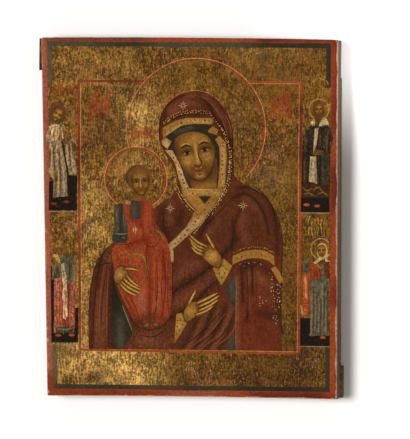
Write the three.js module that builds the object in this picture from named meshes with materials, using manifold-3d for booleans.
// A painted icon panel lying on its back: a wooden board, the gesso coat that carries the
// painting, and two battens let into rebates along the top and bottom of the board's back.
// Millimetres, +Z up out of the picture, +Y towards the picture's top edge.
import * as THREE from "three";
import { mergeVertices } from "three/addons/utils/BufferGeometryUtils.js";
import Module from "manifold-3d";

// The panel's outline, hand-sawn and a little out of square.
const HEIGHT = 360;
const TOP_WIDTH = 301.5;
const BOTTOM_WIDTH = 294;
const LEFT_LEAN = 10;
const TOP_CROWN = 0.9;
const BOTTOM_HOLLOW = 0.8;
const CORNER_RADII = { bottomLeft: 1.5, bottomRight: 3, topRight: 5, topLeft: 2.5 };
const CURVE_STEPS = 7;

// The layers, from the surface that the panel lies on upwards.
const BATTEN_PROUD = 4;
const BOARD_THICKNESS = 25;
const GESSO_THICKNESS = 1.5;
const BACK_CHAMFER = 1.2;
const GESSO_EDGE_ROUND = 1.4;
const GESSO_EDGE_STEPS = 4;

// The battens and the rebates that hold them.
const BATTEN_WIDTH = 37;
const BATTEN_SET_IN = 6.5;
const BATTEN_EDGE_SETBACK = 1.5;
const BATTEN_CHAMFER = 2;
const TOP_BATTEN_REACH = 5.5;
const BOTTOM_BATTEN_REACH = 2;
const BATTEN_SHORT_END = 1.5;
const END_NOTCH = { reach: 3, height: 5 };
const REBATE_CLEARANCE = 0.3;

// Places worked out from the sizes above. X is zero midway between the battens' far ends.
const halfHeight = HEIGHT / 2;
const rightLean = LEFT_LEAN + BOTTOM_WIDTH - TOP_WIDTH;
const span = TOP_BATTEN_REACH + TOP_WIDTH + rightLean + BOTTOM_BATTEN_REACH;
const leftTop = -span / 2 + TOP_BATTEN_REACH;
const rightTop = leftTop + TOP_WIDTH;
const leftBottom = leftTop + LEFT_LEAN;
const rightBottom = leftBottom + BOTTOM_WIDTH;
const boardBack = BATTEN_PROUD;
const boardFront = boardBack + BOARD_THICKNESS;
const rebateFloor = boardBack + BATTEN_SET_IN;

const wasm = await Module();
wasm.setup();

/** The panel's outline as points, counter-clockwise, drawn in from the edge by `inset`. */
function panelOutline(inset) {
  const low = -halfHeight + inset;
  const high = halfHeight - TOP_CROWN - inset;
  const corners = [
    { x: leftBottom + inset, y: low, r: CORNER_RADII.bottomLeft },
    { x: rightBottom - inset, y: low, r: CORNER_RADII.bottomRight },
    { x: rightTop - inset, y: high, r: CORNER_RADII.topRight },
    { x: leftTop + inset, y: high, r: CORNER_RADII.topLeft },
  ];
  const bows = [BOTTOM_HOLLOW, 0, TOP_CROWN, 0];
  const towards = (from, to, distance) => {
    const step = new THREE.Vector2(to.x - from.x, to.y - from.y).setLength(distance);
    return new THREE.Vector2(from.x + step.x, from.y + step.y);
  };
  const shape = new THREE.Shape();
  corners.forEach((corner, i) => {
    const before = corners[(i + 3) % 4];
    const after = corners[(i + 1) % 4];
    const enter = towards(corner, before, corner.r);
    const leave = towards(corner, after, corner.r);
    const arrive = towards(after, corner, after.r);
    if (i === 0) shape.moveTo(enter.x, enter.y);
    shape.quadraticCurveTo(corner.x, corner.y, leave.x, leave.y);
    const middle = leave.clone().add(arrive).multiplyScalar(0.5);
    shape.quadraticCurveTo(middle.x, middle.y + 2 * bows[i], arrive.x, arrive.y);
  });
  const points = shape.getPoints(CURVE_STEPS);
  points.pop();
  return points;
}

/** A closed solid through the panel's outline at each level, a list of { z, inset }. */
function loft(levels) {
  const rings = levels.map((level) => panelOutline(level.inset));
  const count = rings[0].length;
  const positions = rings.flatMap((ring, k) => ring.flatMap((p) => [p.x, p.y, levels[k].z]));
  const index = [];
  for (let k = 0; k + 1 < rings.length; k++) {
    for (let i = 0; i < count; i++) {
      const a = k * count + i;
      const b = k * count + ((i + 1) % count);
      index.push(a, b, b + count, a, b + count, a + count);
    }
  }
  const last = (rings.length - 1) * count;
  for (const [a, b, c] of THREE.ShapeUtils.triangulateShape(rings[0], [])) {
    index.push(a, c, b);
  }
  for (const [a, b, c] of THREE.ShapeUtils.triangulateShape(rings.at(-1), [])) {
    index.push(last + a, last + b, last + c);
  }
  const geometry = new THREE.BufferGeometry();
  geometry.setAttribute("position", new THREE.Float32BufferAttribute(positions, 3));
  return geometry.setIndex(index);
}

/** A three.js geometry as a solid for joining and cutting. */
function solidOf(geometry) {
  const bare = geometry.clone();
  bare.deleteAttribute("normal");
  bare.deleteAttribute("uv");
  const merged = mergeVertices(bare);
  const mesh = new wasm.Mesh({
    numProp: 3,
    vertProperties: new Float32Array(merged.getAttribute("position").array),
    triVerts: new Uint32Array(merged.index.array),
  });
  return new wasm.Manifold(mesh);
}

/** A solid back as a three.js geometry. */
function geometryOf(solid) {
  const mesh = solid.getMesh();
  const geometry = new THREE.BufferGeometry();
  geometry.setAttribute("position", new THREE.BufferAttribute(mesh.vertProperties, 3));
  geometry.setIndex(new THREE.BufferAttribute(mesh.triVerts, 1));
  geometry.computeVertexNormals();
  return geometry;
}

/** A rebate's waste along the top (side 1) or bottom (side -1) of the board's back. */
function rebateWaste(side) {
  const inner = halfHeight - BATTEN_EDGE_SETBACK - BATTEN_WIDTH - REBATE_CLEARANCE;
  const outer = halfHeight + 1;
  const below = boardBack - 1;
  const waste = new THREE.BoxGeometry(span + 2, outer - inner, rebateFloor - below);
  waste.translate(0, (side * (inner + outer)) / 2, (below + rebateFloor) / 2);
  return waste;
}

/** The board, chamfered round its back, with a rebate for each batten. */
function boardGeometry() {
  const blank = loft([
    { z: boardBack, inset: BACK_CHAMFER },
    { z: boardBack + BACK_CHAMFER, inset: 0 },
    { z: boardFront, inset: 0 },
  ]);
  const cut = [1, -1].reduce((left, side) => left.subtract(solidOf(rebateWaste(side))), solidOf(blank));
  return geometryOf(cut);
}

/** The gesso coat, flush with the board at its foot and rounded over at its edge. */
function gessoGeometry() {
  const levels = [{ z: boardFront, inset: 0 }];
  for (let i = 0; i <= GESSO_EDGE_STEPS; i++) {
    const turn = (i / GESSO_EDGE_STEPS) * (Math.PI / 2);
    const rise = GESSO_THICKNESS - GESSO_EDGE_ROUND * (1 - Math.sin(turn));
    levels.push({ z: boardFront + rise, inset: GESSO_EDGE_ROUND * (1 - Math.cos(turn)) });
  }
  return loft(levels);
}

/** A batten from `start` to `end` in X, with its chamfered back down and its long inner edge
 *  at y = 0. Its driven end, at `end`, is notched at the inner corner. */
function battenGeometry(start, end) {
  const depth = rebateFloor;
  const section = new THREE.Shape();
  section.moveTo(0, BATTEN_CHAMFER);
  section.lineTo(BATTEN_CHAMFER, 0);
  section.lineTo(BATTEN_WIDTH - BATTEN_CHAMFER, 0);
  section.lineTo(BATTEN_WIDTH, BATTEN_CHAMFER);
  section.lineTo(BATTEN_WIDTH, depth);
  section.lineTo(0, depth);
  section.closePath();
  const bar = new THREE.ExtrudeGeometry(section, { depth: end - start, bevelEnabled: false });
  bar.rotateX(Math.PI / 2);
  bar.rotateZ(Math.PI / 2);
  bar.translate(start, 0, 0);
  const notch = new THREE.BoxGeometry(2 * END_NOTCH.reach, 2 * END_NOTCH.height, 4 * depth);
  notch.translate(end, 0, 0);
  return geometryOf(solidOf(bar).subtract(solidOf(notch)));
}

/** A named mesh in a plain finish. */
function piece(name, geometry, color, roughness) {
  const material = new THREE.MeshStandardMaterial({ color, roughness, metalness: 0 });
  const mesh = new THREE.Mesh(geometry, material);
  mesh.name = name;
  return mesh;
}

const panel = new THREE.Group();

const board = piece("board", boardGeometry(), 0x5b4028, 0.75);
panel.add(board);

const paintedGesso = piece("painted_gesso", gessoGeometry(), 0x7a5a24, 0.45);
panel.add(paintedGesso);

// Each batten was driven in from one side: the upper one's head stands out at the left, the
// lower one's at the right, and their other ends stop just short of the board's edge.
const innerEdge = halfHeight - BATTEN_EDGE_SETBACK - BATTEN_WIDTH;
const battenColour = 0x4a3421;

const topLength = [-rightTop + BATTEN_SHORT_END, span / 2];
const topBatten = piece("top_batten", battenGeometry(...topLength), battenColour, 0.8);
const topSeat = new THREE.Group();
topSeat.scale.x = -1;
topSeat.position.y = innerEdge;
topSeat.add(topBatten);
panel.add(topSeat);

const bottomLength = [leftBottom + BATTEN_SHORT_END, span / 2];
const bottomBatten = piece("bottom_batten", battenGeometry(...bottomLength), battenColour, 0.8);
const bottomSeat = new THREE.Group();
bottomSeat.scale.y = -1;
bottomSeat.position.y = -innerEdge;
bottomSeat.add(bottomBatten);
panel.add(bottomSeat);

export default panel;
